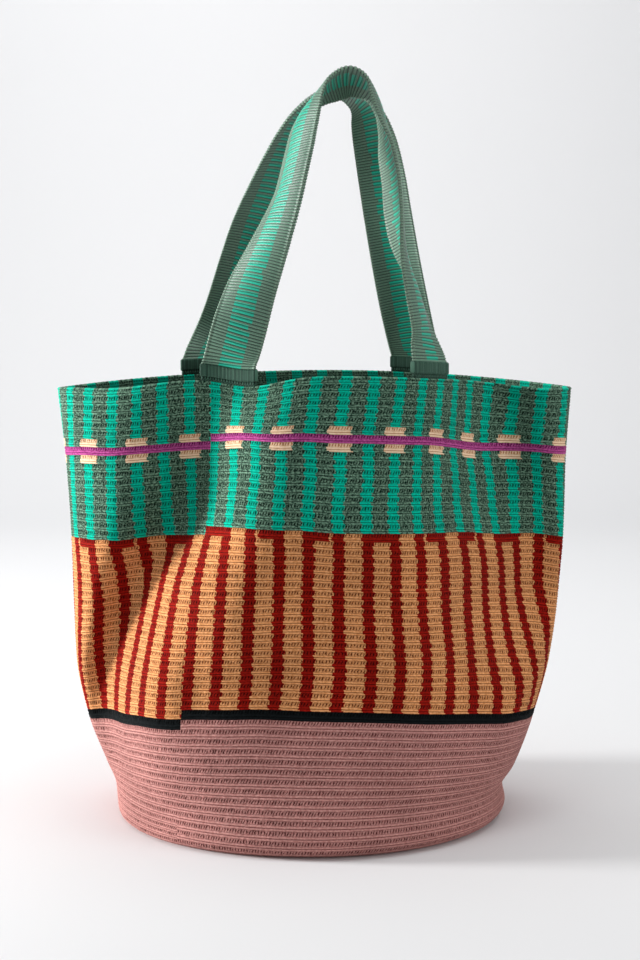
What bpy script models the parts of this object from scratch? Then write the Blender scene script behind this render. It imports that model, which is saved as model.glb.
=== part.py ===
# A crocheted bucket bag: one body worked in rounds, with two woven straps sewn to its rim.
# The bag stands on its round base, at the origin, and its front faces -Y.
import math

import bmesh
import bpy
import numpy as np

mm = 0.001

# Driving dimensions of the crocheted body
base_radius = 163 * mm
wall_thickness = 4.6 * mm
floor_thickness = 5.0 * mm
pink_round_pitch = 7.3 * mm
pink_rounds = 14
stripe_round_pitch = 6.68 * mm
ridge_depth = 1.1 * mm
base_edge_radius = 2.2 * mm
rim_roll = 1.6 * mm
rim_flat_share = 0.4
ridge_crest_share = 0.55
stripe_periods = 44
stripe_share = 0.4

# Rounds of each colour above the pink, counted up the wall
black_rounds = 1
orange_rounds = 21
green_rounds_below = 9
cream_rounds = 1
purple_rounds = 1
green_rounds_above = 6

# Where the rounds begin and end, seen from the front: height and sideways place, in mm
round_step = ((0.0, -108.0), (105.0, -104.0), (205.0, -96.0), (260.0, -85.5), (369.0, -82.0))

# Driving dimensions of the straps
strap_width = 44 * mm
strap_thickness = 3.0 * mm
strap_bow = 5.0 * mm
strap_selvedge = 1.2 * mm
bow_reach = 70 * mm
foot_reach = 30 * mm
binding_height = 8.0 * mm
binding_thickness = 6.0 * mm
binding_overhang = 1.0 * mm
binding_bevel = 1.2 * mm
seam_roll_radius = 2.0 * mm
seam_end_share = 0.6
fit_gap = 0.3 * mm

# Places of the strap ends on the rim, as sideways places of their middles
front_left_end_x = -68 * mm
front_right_end_x = 96 * mm
back_left_end_x = -94 * mm
back_right_end_x = 91 * mm

# Stations up the front of the wall, in mm: height at the front, drop at the sides,
# half width to the left and to the right, half depth in front and behind, and how
# far the section is pinched from an oval (0) towards a lens (1)
wall_stations = (
    (0.0, 0.0, 163.0, 163.0, 160.0, 161.0, 0.0),
    (12.0, 1.0, 164.0, 162.0, 160.5, 161.5, 0.0),
    (30.0, 5.0, 166.5, 159.5, 157.5, 159.0, 0.0),
    (55.0, 12.0, 174.0, 169.5, 152.0, 155.0, 0.0),
    (105.0, 20.0, 188.0, 184.0, 145.0, 149.0, 0.05),
    (150.0, 20.0, 196.5, 195.5, 138.0, 143.0, 0.12),
    (200.0, 19.0, 199.0, 201.5, 130.0, 136.0, 0.2),
    (250.0, 17.0, 202.5, 207.0, 122.0, 129.0, 0.3),
    (310.0, 15.0, 208.0, 211.0, 114.0, 121.0, 0.42),
    (369.0, 12.0, 214.5, 214.5, 106.0, 112.0, 0.5),
)

# Folds of the cloth. Each runs up the wall through (height in mm, place in degrees round
# the bag from its right side, depth in mm, half spread in degrees). A positive depth
# pushes the cloth towards the back of the bag, and a negative one towards its front.
left_dent = (
    (20.0, -160.0, 4.0, 14.0),
    (105.0, -153.0, 30.0, 13.5),
    (160.0, -143.0, 40.0, 12.5),
    (210.0, -134.0, 44.0, 12.0),
    (265.0, -120.0, 44.0, 13.5),
    (320.0, -115.0, 32.0, 13.5),
    (369.0, -108.0, 24.0, 13.5),
)
right_facet = (
    (60.0, -52.0, 2.0, 18.0),
    (110.0, -50.0, 12.0, 20.0),
    (160.0, -38.0, 34.0, 22.0),
    (210.0, -34.0, 52.0, 22.0),
    (265.0, -42.0, 54.0, 21.0),
    (320.0, -46.0, 60.0, 17.5),
    (369.0, -48.0, 60.0, 15.0),
)
back_hollow = (
    (90.0, 118.0, 0.0, 20.0),
    (180.0, 112.0, -18.0, 20.0),
    (280.0, 106.0, -30.0, 20.0),
    (369.0, 104.0, -26.0, 20.0),
)
back_shoulder = (
    (60.0, 60.0, 0.0, 17.0),
    (160.0, 56.0, 6.0, 17.0),
    (260.0, 52.0, 10.0, 17.0),
    (369.0, 50.0, 4.0, 17.0),
)
folds = (left_dent, right_facet, back_hollow, back_shoulder)
right_corner_set_back = 20 * mm

# How fast the left half's width gives way to the right half's, round the outline
side_change = 2.5

# Dips of the rim between and beside the straps: place in degrees, spread in degrees, drop
rim_dips = (
    (-103.5, 8.5, 8.0 * mm),
    (-137.0, 17.0, 4.0 * mm),
    (-35.0, 20.0, 4.0 * mm),
)
rim_dip_reach = 45 * mm

# Routes of the straps between their ends, in mm: sideways, back, up, and the heading in
# degrees of the strap's width, which is 0 to the right and -90 towards the front
front_strap_route = (
    (-58.0, -80.0, 409.0, -8.0),
    (-49.0, -74.0, 438.0, -20.0),
    (-35.5, -62.0, 472.0, -40.0),
    (-26.0, -54.0, 496.5, -52.0),
    (-18.5, -45.0, 519.5, -60.0),
    (-11.5, -32.0, 550.5, -61.0),
    (-7.5, -26.0, 568.5, -62.0),
    (-2.0, -22.0, 583.0, -68.0),
    (5.5, -19.0, 597.0, -78.0),
    (16.0, -17.0, 609.5, -89.0),
    (29.0, -15.5, 615.5, -95.0),
    (41.5, -15.5, 609.0, -98.0),
    (48.5, -17.5, 592.5, -98.0),
    (53.5, -21.0, 571.5, -90.0),
    (58.0, -25.0, 550.5, -77.0),
    (62.0, -29.5, 528.0, -75.0),
    (64.5, -34.5, 498.0, -75.0),
    (67.5, -39.0, 474.5, -82.0),
    (73.0, -43.0, 453.0, -94.0),
    (81.0, -47.0, 428.0, -106.0),
    (89.0, -50.0, 400.0, -116.0),
)
back_strap_route = (
    (-79.5, 98.0, 412.0, 6.0),
    (-64.0, 88.0, 457.5, 11.0),
    (-52.0, 79.0, 493.5, 20.0),
    (-39.5, 68.0, 525.5, 37.0),
    (-28.0, 58.0, 552.0, 50.0),
    (-19.0, 52.0, 571.0, 60.0),
    (-10.0, 48.0, 587.0, 72.0),
    (2.5, 45.0, 599.0, 84.0),
    (17.0, 44.0, 604.0, 93.0),
    (31.0, 45.0, 600.5, 105.0),
    (43.5, 46.5, 588.5, 126.0),
    (51.5, 51.0, 565.0, 146.0),
    (58.0, 57.5, 535.0, 157.0),
    (63.5, 65.0, 504.0, 161.0),
    (71.5, 76.0, 462.0, 166.0),
    (80.0, 88.0, 422.5, 172.0),
)

columns_per_period = 2
band_parts = {"orange": 5, "green": 2}
inner_ring_shares = (0.82, 0.62, 0.42, 0.2)
dense_angles = 720
strap_step = 14 * mm
strap_points_across = 5
end_points_across = 7
full_turn = 360.0
seam_sides = 8
curve_samples = 24
sharp_edge_degrees = 50

dusty_pink = (0.42, 0.21, 0.19)
black_yarn = (0.010, 0.014, 0.016)
camel_orange = (0.62, 0.30, 0.12)
brick_red = (0.33, 0.02, 0.012)
grey_green = (0.07, 0.15, 0.10)
bright_teal = (0.0, 0.52, 0.34)
peach_cream = (0.80, 0.56, 0.38)
magenta_purple = (0.38, 0.04, 0.25)
strap_green = (0.03, 0.30, 0.20)
binding_green = (0.05, 0.14, 0.10)
seam_green = (0.05, 0.16, 0.11)


def clear_scene():
    for item in list(bpy.data.objects):
        bpy.data.objects.remove(item)


def yarn(name, colour):
    material = bpy.data.materials.new(name)
    material.use_nodes = True
    shader = material.node_tree.nodes["Principled BSDF"]
    shader.inputs["Base Color"].default_value = (*colour, 1.0)
    shader.inputs["Roughness"].default_value = 0.85
    shader.inputs["Metallic"].default_value = 0.0
    return material


def smooth_through(keys, values, at):
    """Reads a smooth curve through hand-set values, with no overshoot between them."""
    keys = np.asarray(keys, dtype=float)
    values = np.asarray(values, dtype=float)
    at = min(max(at, keys[0]), keys[-1])
    place = min(int(np.searchsorted(keys, at, side="right")) - 1, len(keys) - 2)
    steps = np.diff(keys)
    rises = np.diff(values) / steps
    slopes = np.zeros(len(keys))
    slopes[0] = rises[0]
    slopes[-1] = rises[-1]
    for i in range(1, len(keys) - 1):
        if rises[i - 1] * rises[i] > 0:
            slopes[i] = 2 * rises[i - 1] * rises[i] / (rises[i - 1] + rises[i])
    t = (at - keys[place]) / steps[place]
    h = steps[place]
    return float(
        values[place] * (1 + 2 * t) * (1 - t) ** 2
        + slopes[place] * h * t * (1 - t) ** 2
        + values[place + 1] * t * t * (3 - 2 * t)
        + slopes[place + 1] * h * t * t * (t - 1)
    )


def wall_height():
    striped = (black_rounds + orange_rounds + green_rounds_below + cream_rounds
               + purple_rounds + cream_rounds + green_rounds_above)
    return pink_rounds * pink_round_pitch + striped * stripe_round_pitch


def station_value(height, column):
    """A value of the wall stations at a height of the front, in metres."""
    heights = [row[0] for row in wall_stations]
    values = [row[column] for row in wall_stations]
    share = height / wall_height() * heights[-1]
    return smooth_through(heights, values, share) * mm


def outline(height):
    """The wall at one round: angles from the left side on, places, normals and drops."""
    angles = np.linspace(-math.pi, math.pi, dense_angles, endpoint=False)
    share = height / wall_height()
    level = share * wall_stations[-1][0]
    scale = base_radius / (wall_stations[0][2] * mm)
    left, right, front, back = (station_value(height, column) * scale for column in (2, 3, 4, 5))
    pinch = station_value(height, 6) / mm
    across = np.cos(angles)
    along = np.sin(angles)
    to_right = 0.5 + 0.5 * np.tanh(across * side_change)
    x = (left + (right - left) * to_right) * across
    lens = along * ((1 - pinch) + pinch * np.abs(along))
    y = np.where(along < 0, front, back) * lens
    y = y + right_corner_set_back * share * (0.5 + 0.5 * across) ** 2
    for fold in folds:
        rises = [row[0] for row in fold]
        centre, depth, spread = (
            smooth_through(rises, [row[k] for row in fold], level) for k in (1, 2, 3)
        )
        depth *= mm * min(1.0, level / rises[0])
        away = (angles - math.radians(centre) + math.pi) % (2 * math.pi) - math.pi
        y = y + depth * np.exp(-((away / math.radians(spread)) ** 2))
    drops = station_value(height, 1) * across ** 2
    below = (wall_height() - height) / rim_dip_reach
    for centre, spread, depth in rim_dips:
        away = np.degrees(angles) - centre
        drops = drops + depth * np.exp(-((away / spread) ** 2)) * math.exp(-below * below)
    points = np.column_stack((x, y))
    tangents = np.roll(points, -1, axis=0) - np.roll(points, 1, axis=0)
    normals = np.column_stack((tangents[:, 1], -tangents[:, 0]))
    normals /= np.linalg.norm(normals, axis=1)[:, None]
    return angles, points, normals, drops


def from_step(height):
    """The outline rolled to begin at the step in the rounds, with the way along it."""
    angles, points, normals, drops = outline(height)
    level = height / wall_height() * wall_stations[-1][0]
    heights = [row[0] for row in round_step]
    step_x = smooth_through(heights, [row[1] for row in round_step], level) * mm
    front = np.where(angles < 0)[0]
    start = front[int(np.argmin(np.abs(points[front, 0] - step_x)))]
    table = np.column_stack((points, normals, drops, angles))
    table = np.roll(table, -start, axis=0)
    table = np.vstack((table, table[:1]))
    steps = np.linalg.norm(np.diff(table[:, :2], axis=0), axis=1)
    way = np.concatenate(([0.0], np.cumsum(steps)))
    return table, way


def column_shares():
    """Places of the mesh columns round the bag: both edges of each stripe."""
    shares = []
    for period in range(stripe_periods):
        shares.append(period / stripe_periods)
        shares.append((period + stripe_share) / stripe_periods)
    return np.array(shares)


def round_points(height, inset=0.0, lift=0.0, shares=None):
    """Points of one round, evenly spaced along the cloth from the step in the rounds."""
    table, way = from_step(height)
    shares = column_shares() if shares is None else shares
    x, y, nx, ny, drops = (np.interp(shares * way[-1], way, table[:, k]) for k in range(5))
    return list(zip(x - nx * inset, y - ny * inset, height - drops + lift))


def wall_levels():
    """Heights of the colour bands, bottom to top, as (name, lower, upper)."""
    bands = []
    low = 0.0
    plan = (
        ("pink", pink_rounds, pink_round_pitch),
        ("black", black_rounds, stripe_round_pitch),
        ("orange", orange_rounds, stripe_round_pitch),
        ("green", green_rounds_below, stripe_round_pitch),
        ("cream", cream_rounds, stripe_round_pitch),
        ("purple", purple_rounds, stripe_round_pitch),
        ("cream", cream_rounds, stripe_round_pitch),
        ("green", green_rounds_above, stripe_round_pitch),
    )
    for name, rounds, pitch in plan:
        bands.append((name, low, low + rounds * pitch))
        low += rounds * pitch
    return bands


def outer_rings():
    """Rings of the outside, as (points, name of the band above the ring)."""
    rings = [(round_points(0.0, inset=base_edge_radius), "pink")]
    for i in range(pink_rounds):
        low = i * pink_round_pitch
        lift = base_edge_radius if i == 0 else 0.0
        groove = 0.0 if i == 0 else ridge_depth
        rings.append((round_points(low, inset=groove, lift=lift), "pink"))
        rings.append((round_points(low + pink_round_pitch * ridge_crest_share), "pink"))
    for name, low, high in wall_levels()[1:]:
        parts = band_parts.get(name, 1)
        for k in range(parts):
            rings.append((round_points(low + (high - low) * k / parts), name))
    top = wall_height()
    rings.append((round_points(top - rim_roll), "green"))
    rings.append((round_points(top, inset=wall_thickness * (1 - rim_flat_share) / 2), "green"))
    return rings


def inner_rings():
    top = wall_height()
    rings = [round_points(top, inset=wall_thickness * (1 + rim_flat_share) / 2)]
    rings.append(round_points(top - rim_roll, inset=wall_thickness))
    for share in inner_ring_shares:
        rings.append(round_points(top * share, inset=wall_thickness))
    rings.append(round_points(floor_thickness, inset=wall_thickness))
    return rings


def face_material(name, column, period_is_odd):
    """Colour of a face by its band and its place in the stripes."""
    on_stripe = column % columns_per_period == 0
    if name == "pink":
        return 0
    if name == "black":
        return 1
    if name == "orange":
        return 3 if on_stripe else 2
    if name == "purple":
        return 7
    if name == "cream" and period_is_odd:
        return 6
    return 5 if on_stripe else 4


def crochet_body():
    outer = outer_rings()
    inner = inner_rings()
    count = len(outer[0][0])
    mesh = bmesh.new()
    rings = [[mesh.verts.new(point) for point in points] for points, _ in outer]
    rings += [[mesh.verts.new(point) for point in points] for points in inner]
    names = [name for _, name in outer] + ["green"] * len(inner)
    for k in range(len(rings) - 1):
        height = rings[k][0].co.z
        inside = k >= len(outer) - 1
        for i in range(count):
            j = (i + 1) % count
            face = mesh.faces.new((rings[k][i], rings[k][j], rings[k + 1][j], rings[k + 1][i]))
            name = names[k]
            if inside:
                name = band_at(height)
            odd = (i // columns_per_period) % 2 == 1
            face.material_index = face_material(name, i, odd)
    under = mesh.faces.new(list(reversed(rings[0])))
    under.material_index = 0
    floor = mesh.faces.new(rings[-1])
    floor.material_index = 0
    bmesh.ops.triangulate(mesh, faces=[under, floor])
    bmesh.ops.recalc_face_normals(mesh, faces=mesh.faces)
    materials = [
        yarn("pink_cotton", dusty_pink),
        yarn("black_cotton", black_yarn),
        yarn("camel_cotton", camel_orange),
        yarn("red_cotton", brick_red),
        yarn("grey_green_cotton", grey_green),
        yarn("teal_cotton", bright_teal),
        yarn("cream_cotton", peach_cream),
        yarn("purple_cotton", magenta_purple),
    ]
    return finish_object("crochet_body", mesh, materials)


def band_at(height):
    for name, low, high in wall_levels():
        if low <= height < high:
            return name
    return "green"


def finish_object(name, mesh, materials):
    data = bpy.data.meshes.new(name)
    mesh.to_mesh(data)
    mesh.free()
    for material in materials:
        data.materials.append(material)
    data.shade_smooth()
    data.set_sharp_from_angle(angle=math.radians(sharp_edge_degrees))
    item = bpy.data.objects.new(name, data)
    bpy.context.scene.collection.objects.link(item)
    return item


def rim_line(middle_x, at_front, length, lift, count):
    """Points along the rim under one strap end, lifted off the rim, from left to right."""
    table, way = from_step(wall_height())
    side = (table[:, 5] < 0) if at_front else (table[:, 5] > 0)
    places = np.where(side)[0]
    middle = way[places[int(np.argmin(np.abs(table[places, 0] - middle_x)))]]
    spread = np.linspace(-length / 2, length / 2, count)
    if not at_front:
        spread = -spread
    shares = ((middle + spread) / way[-1]) % 1.0
    points = round_points(wall_height(), inset=wall_thickness / 2, lift=lift, shares=shares)
    return np.array(points)


def seam_roll(name, middle_x, at_front, material):
    """The rolled seam that holds one strap end on the rim: a short fat cord of stitches."""
    centre = rim_line(middle_x, at_front, strap_width, fit_gap + seam_roll_radius, end_points_across)
    rings = []
    last = len(centre) - 1
    for i, point in enumerate(centre):
        ahead = centre[min(i + 1, last)] - centre[max(i - 1, 0)]
        side = np.array((ahead[1], -ahead[0], 0.0))
        side /= np.linalg.norm(side)
        end = i in (0, last)
        radius = seam_roll_radius * (seam_end_share if end else 1.0)
        ring = []
        for k in range(seam_sides):
            turn = 2 * math.pi * k / seam_sides
            ring.append(point + side * math.cos(turn) * radius
                        + np.array((0, 0, 1)) * math.sin(turn) * radius)
        rings.append(ring)
    return loft(name, rings, [material])


def end_binding(name, middle_x, at_front, material):
    """The whipped band that closes one strap end, standing on its seam roll."""
    low = fit_gap + 2 * seam_roll_radius + fit_gap
    centre = rim_line(middle_x, at_front, strap_width + 2 * binding_overhang, low, end_points_across)
    rings = []
    for i, point in enumerate(centre):
        ahead = centre[min(i + 1, len(centre) - 1)] - centre[max(i - 1, 0)]
        side = np.array((ahead[1], -ahead[0], 0.0))
        side /= np.linalg.norm(side)
        half = binding_thickness / 2
        bevel = binding_bevel
        section = (
            (half - bevel, 0.0), (half, bevel), (half, binding_height - bevel),
            (half - bevel, binding_height), (bevel - half, binding_height),
            (-half, binding_height - bevel), (-half, bevel), (bevel - half, 0.0),
        )
        rings.append([point + side * a + np.array((0, 0, b)) for a, b in section])
    return loft(name, rings, [material])


def loft(name, rings, materials):
    mesh = bmesh.new()
    loops = [[mesh.verts.new(point) for point in ring] for ring in rings]
    count = len(loops[0])
    for a, b in zip(loops, loops[1:]):
        for i in range(count):
            j = (i + 1) % count
            mesh.faces.new((a[i], a[j], b[j], b[i]))
    caps = [mesh.faces.new(loops[0]), mesh.faces.new(list(reversed(loops[-1])))]
    bmesh.ops.triangulate(mesh, faces=caps)
    bmesh.ops.recalc_face_normals(mesh, faces=mesh.faces)
    return finish_object(name, mesh, materials)


def catmull(points, samples):
    """A smooth curve through the points, sampled evenly along its own length."""
    points = np.asarray(points, dtype=float)
    padded = np.vstack((2 * points[0] - points[1], points, 2 * points[-1] - points[-2]))
    dense = []
    for i in range(1, len(padded) - 2):
        p0, p1, p2, p3 = padded[i - 1:i + 3]
        for t in np.linspace(0, 1, curve_samples, endpoint=False):
            dense.append(0.5 * (2 * p1 + (p2 - p0) * t + (2 * p0 - 5 * p1 + 4 * p2 - p3) * t * t
                                + (3 * p1 - p0 - 3 * p2 + p3) * t ** 3))
    dense.append(points[-1])
    dense = np.array(dense)
    steps = np.linalg.norm(np.diff(dense[:, :3], axis=0), axis=1)
    lengths = np.concatenate(([0.0], np.cumsum(steps)))
    targets = np.linspace(0, lengths[-1], samples)
    return np.column_stack([np.interp(targets, lengths, dense[:, c]) for c in range(dense.shape[1])])


def strap_end(middle_x, at_front):
    """Points across one strap end, just above its binding."""
    lift = 2 * fit_gap + 2 * seam_roll_radius + binding_height + fit_gap
    return rim_line(middle_x, at_front, strap_width, lift, strap_points_across)


def strap(name, route, left_x, right_x, at_front, material):
    """A woven strap as a bowed ribbon lofted along its route, end to end."""
    left_end = strap_end(left_x, at_front)
    right_end = strap_end(right_x, at_front)
    left_mid = left_end.mean(axis=0)
    right_mid = right_end.mean(axis=0)
    left_across = left_end[-1] - left_end[0]
    right_across = -(right_end[-1] - right_end[0])
    left_heading = math.degrees(math.atan2(left_across[1], left_across[0]))
    right_heading = math.degrees(math.atan2(right_across[1], right_across[0]))
    if not at_front and right_heading < 0:
        right_heading += full_turn
    stations = [(*left_mid, left_heading)]
    stations += [(x * mm, y * mm, z * mm, heading) for x, y, z, heading in route]
    stations += [(*right_mid, right_heading)]
    scaled = [(x, y, z, heading * mm) for x, y, z, heading in stations]
    length = sum(math.dist(a[:3], b[:3]) for a, b in zip(stations, stations[1:]))
    path = catmull(scaled, int(length / strap_step) + 1)
    places = np.linspace(-0.5, 0.5, strap_points_across)
    outer_side = 1.0 if at_front else -1.0
    rings = []
    last = len(path) - 1
    for i, row in enumerate(path):
        centre = row[:3]
        heading = math.radians(row[3] / mm)
        ahead = path[min(i + 1, last), :3] - path[max(i - 1, 0), :3]
        if i in (0, last):
            ahead = np.array((0, 0, 1.0 if i == 0 else -1.0))
        ahead /= np.linalg.norm(ahead)
        across = np.array((math.cos(heading), math.sin(heading), 0.0))
        across -= ahead * across.dot(ahead)
        across /= np.linalg.norm(across)
        face = np.cross(across, ahead)
        from_end = min(i, last - i) * length / last
        ease = min(1.0, from_end / bow_reach)
        bow = strap_bow * ease * ease * (3 - 2 * ease)
        hold = max(0.0, 1.0 - from_end / foot_reach)
        end = left_end if i < last / 2 else right_end[::-1]
        end_mid = end.mean(axis=0)
        line = []
        for k, place in enumerate(places):
            point = centre + across * place * strap_width
            point = point + face * bow * outer_side * (1 - (2 * place) ** 2)
            if hold > 0:
                flat = end_mid + across * place * strap_width
                point = point + (end[k] - flat) * hold * hold
            line.append(point)
        rings.append(ribbon_ring(line, ahead))
    return loft(name, rings, [material])


def ribbon_ring(line, ahead):
    """A closed ring round a line of points across the strap, with rounded selvedges."""
    line = np.array(line)
    slopes = np.gradient(line, axis=0)
    slopes /= np.linalg.norm(slopes, axis=1)[:, None]
    sides = np.cross(slopes, ahead)
    sides /= np.linalg.norm(sides, axis=1)[:, None]
    half = strap_thickness / 2
    front = [line[k] + sides[k] * half for k in range(len(line))]
    back = [line[k] - sides[k] * half for k in range(len(line))]
    front[0] = line[0] + slopes[0] * strap_selvedge + sides[0] * half
    back[0] = line[0] + slopes[0] * strap_selvedge - sides[0] * half
    front[-1] = line[-1] - slopes[-1] * strap_selvedge + sides[-1] * half
    back[-1] = line[-1] - slopes[-1] * strap_selvedge - sides[-1] * half
    return front + [line[-1]] + back[::-1] + [line[0]]


def build():
    clear_scene()
    crochet_body()
    weave = yarn("woven_strap_cotton", strap_green)
    binding = yarn("whipped_cotton", binding_green)
    seam = yarn("seam_cotton", seam_green)
    strap("front_strap", front_strap_route, front_left_end_x, front_right_end_x, True, weave)
    strap("back_strap", back_strap_route, back_left_end_x, back_right_end_x, False, weave)
    ends = (
        ("front_left", front_left_end_x, True),
        ("front_right", front_right_end_x, True),
        ("back_left", back_left_end_x, False),
        ("back_right", back_right_end_x, False),
    )
    for place, x, at_front in ends:
        end_binding(place + "_end_binding", x, at_front, binding)
        seam_roll(place + "_seam_roll", x, at_front, seam)


build()
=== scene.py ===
import math

import bmesh
import bpy
import numpy as np
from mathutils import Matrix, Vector


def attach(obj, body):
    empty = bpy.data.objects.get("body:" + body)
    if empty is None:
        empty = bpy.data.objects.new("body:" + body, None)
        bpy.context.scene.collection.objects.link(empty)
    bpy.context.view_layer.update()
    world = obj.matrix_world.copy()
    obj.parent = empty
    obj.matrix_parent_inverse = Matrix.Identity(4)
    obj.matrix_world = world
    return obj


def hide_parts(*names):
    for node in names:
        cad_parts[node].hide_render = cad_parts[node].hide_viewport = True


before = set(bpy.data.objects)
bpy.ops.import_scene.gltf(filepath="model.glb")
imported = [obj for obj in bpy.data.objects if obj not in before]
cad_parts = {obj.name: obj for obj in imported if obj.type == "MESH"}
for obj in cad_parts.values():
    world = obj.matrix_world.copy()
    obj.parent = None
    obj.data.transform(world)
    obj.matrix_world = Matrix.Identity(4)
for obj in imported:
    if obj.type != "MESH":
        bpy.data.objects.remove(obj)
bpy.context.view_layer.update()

# A crocheted cotton bucket bag with two woven straps, standing on a pale studio floor.
# Lengths are in millimetres until a mesh is made, and the bag's front faces -Y.
mm = 0.001
chance = np.random.default_rng(7)


def linear(hexColour):
    channels = [int(hexColour[k:k + 2], 16) / 255 for k in (1, 3, 5)]
    bent = [c / 12.92 if c <= 0.04045 else ((c + 0.055) / 1.055) ** 2.4 for c in channels]
    return (*bent, 1.0)


def addNode(tree, kind, settings=None, values=None, links=None):
    node = tree.nodes.new(kind)
    for key, value in (settings or {}).items():
        setattr(node, key, value)
    for socket, value in (values or {}).items():
        node.inputs[socket].default_value = value
    for socket, source in (links or {}).items():
        tree.links.new(source, node.inputs[socket])
    return node


# Camera and lights: a low key straight from the left, a fill from the right, a wide top light
studio = {
    "cameraPlace": (0.005, -1.50, 0.408),
    "pitchDown": 4.9,            # degrees
    "lens": 67.24, "sensor": 36,     # mm, along the frame's long side
    "keyPlace": (-1.9, 0.0, 0.5), "keySize": 0.4, "keyPower": 55.0,
    "fillPlace": (1.9, -1.0, 0.8), "fillSize": 1.4, "fillPower": 12.0,
    "topPlace": (0.2, 0.0, 2.6), "topSize": 2.4, "topPower": 32.0,
    "wallPlace": (-0.6, 1.4, 2.4), "wallSize": 1.8, "wallPower": 33.0,
    "lookAt": (0.0, 0.0, 0.25), "wallAim": (-0.3, 3.4, 1.0),
    "worldLight": 0.34, "worldColour": "#F4F6F8",
}
# Painted paper sweep: matt, with hardly any gloss. Its floor turns up into a wall behind.
sweep = {
    "colour": "#E6E6E7", "roughness": 0.9, "gloss": 0.2,
    "side": 6.0, "near": -5.0, "bend": 2.2, "radius": 1.2, "top": 5.0,   # metres
    "bendSteps": 12,
}


def softLight(name, place, size, power, lookAt):
    data = bpy.data.lights.new(name, "AREA")
    data.size = size
    data.energy = power
    light = bpy.data.objects.new(name, data)
    light.location = place
    aim = Vector(lookAt) - Vector(place)
    light.rotation_euler = aim.to_track_quat("-Z", "Y").to_euler()
    bpy.context.scene.collection.objects.link(light)


def makeCamera():
    data = bpy.data.cameras.new("bagCamera")
    data.lens = studio["lens"]
    data.sensor_width = studio["sensor"]
    camera = bpy.data.objects.new("bagCamera", data)
    camera.location = studio["cameraPlace"]
    camera.rotation_euler = (math.radians(90 - studio["pitchDown"]), 0, 0)
    bpy.context.scene.collection.objects.link(camera)
    bpy.context.scene.camera = camera


def makeLights():
    for light, aim in (("key", "lookAt"), ("fill", "lookAt"), ("top", "lookAt"), ("wall", "wallAim")):
        softLight(light + "Light", studio[light + "Place"], studio[light + "Size"],
                  studio[light + "Power"], studio[aim])
    world = bpy.data.worlds.new("paleRoom")
    world.use_nodes = True
    background = world.node_tree.nodes["Background"]
    background.inputs["Color"].default_value = linear(studio["worldColour"])
    background.inputs["Strength"].default_value = studio["worldLight"]
    bpy.context.scene.world = world
    bpy.context.scene.view_settings.view_transform = "Standard"


def makeSweep():
    paper = bpy.data.materials.new("paintedPaperSweep")
    paper.use_nodes = True
    shader = paper.node_tree.nodes["Principled BSDF"]
    shader.inputs["Base Color"].default_value = linear(sweep["colour"])
    shader.inputs["Roughness"].default_value = sweep["roughness"]
    shader.inputs["Specular IOR Level"].default_value = sweep["gloss"]
    radius = sweep["radius"]
    profile = [(sweep["near"], 0.0), (sweep["bend"], 0.0)]
    for k in range(1, sweep["bendSteps"] + 1):
        turn = math.pi / 2 * k / sweep["bendSteps"]
        profile.append((sweep["bend"] + radius * math.sin(turn), radius - radius * math.cos(turn)))
    profile.append((sweep["bend"] + radius, sweep["top"]))
    points = [(x, y, z) for y, z in profile for x in (-sweep["side"], sweep["side"])]
    faces = [(2 * k, 2 * k + 1, 2 * k + 3, 2 * k + 2) for k in range(len(profile) - 1)]
    mesh = bpy.data.meshes.new("studioSweep")
    mesh.from_pydata(points, [], faces)
    mesh.shade_smooth()
    mesh.materials.append(paper)
    paperSheet = bpy.data.objects.new("studioSweep", mesh)
    bpy.context.scene.collection.objects.link(paperSheet)


makeCamera()
makeLights()
makeSweep()
print("studio ready")


# Cotton yarn: plied, mercerised only lightly, so it is matt with a soft sheen. The plies and loose
# fibres give a mottled tone.
# The slit colour is painted shade: the colour turns towards it in the slits between the stitches and
# where the yarn lies deep.
yarns = {
    "pink": {"light": "#D09C94", "dark": "#A76B65", "paintedSlitShade": "#522525", "fleck": 0.7},
    "black": {"light": "#14191B", "dark": "#06090A", "paintedSlitShade": "#020303", "fleck": 0.6},
    "orange": {"light": "#F6B47C", "dark": "#C07842", "paintedSlitShade": "#55240A", "fleck": 0.7},
    "red": {"light": "#A81A0C", "dark": "#720A05", "paintedSlitShade": "#300201", "fleck": 0.7},
    "greyGreen": {"light": "#7CA088", "dark": "#08291F", "paintedSlitShade": "#030E09", "fleck": 1.0},
    "teal": {"light": "#00D0AE", "dark": "#00967E", "paintedSlitShade": "#003A2E", "fleck": 0.7},
    "cream": {"light": "#F8E2C6", "dark": "#E2B88E", "paintedSlitShade": "#A0602F", "fleck": 0.5},
    "purple": {"light": "#CE66A8", "dark": "#8C2068", "paintedSlitShade": "#4A0632", "fleck": 0.7},
}
cotton = {
    "ior": 1.53,            # cellulose
    "sheenRoughness": 0.4,
    "fleckCounts": (2.2, 5.0, 1.0),   # to a stitch and to a round, so a fleck is about one ply
    "fleckRange": (0.36, 0.64),       # noise that gives the dark yarn and the light yarn
    "fibreSize": 0.9,       # mm; real fibres are 0.02 mm, drawn as coarse as they need to show
    "fibreHeight": 0.22,    # mm
    "toneSize": 45.0,       # mm, slow change of shade along the skein
    "toneRange": (0.3, 0.7), "toneChange": 0.08,
    # painted shade: yarn that lies deep is coloured darker
    "sunkFrom": 0.4, "sunkShade": 0.35,   # yarn that lies deeper than this share looks darker
    "reliefStrength": 0.7,
}
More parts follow.
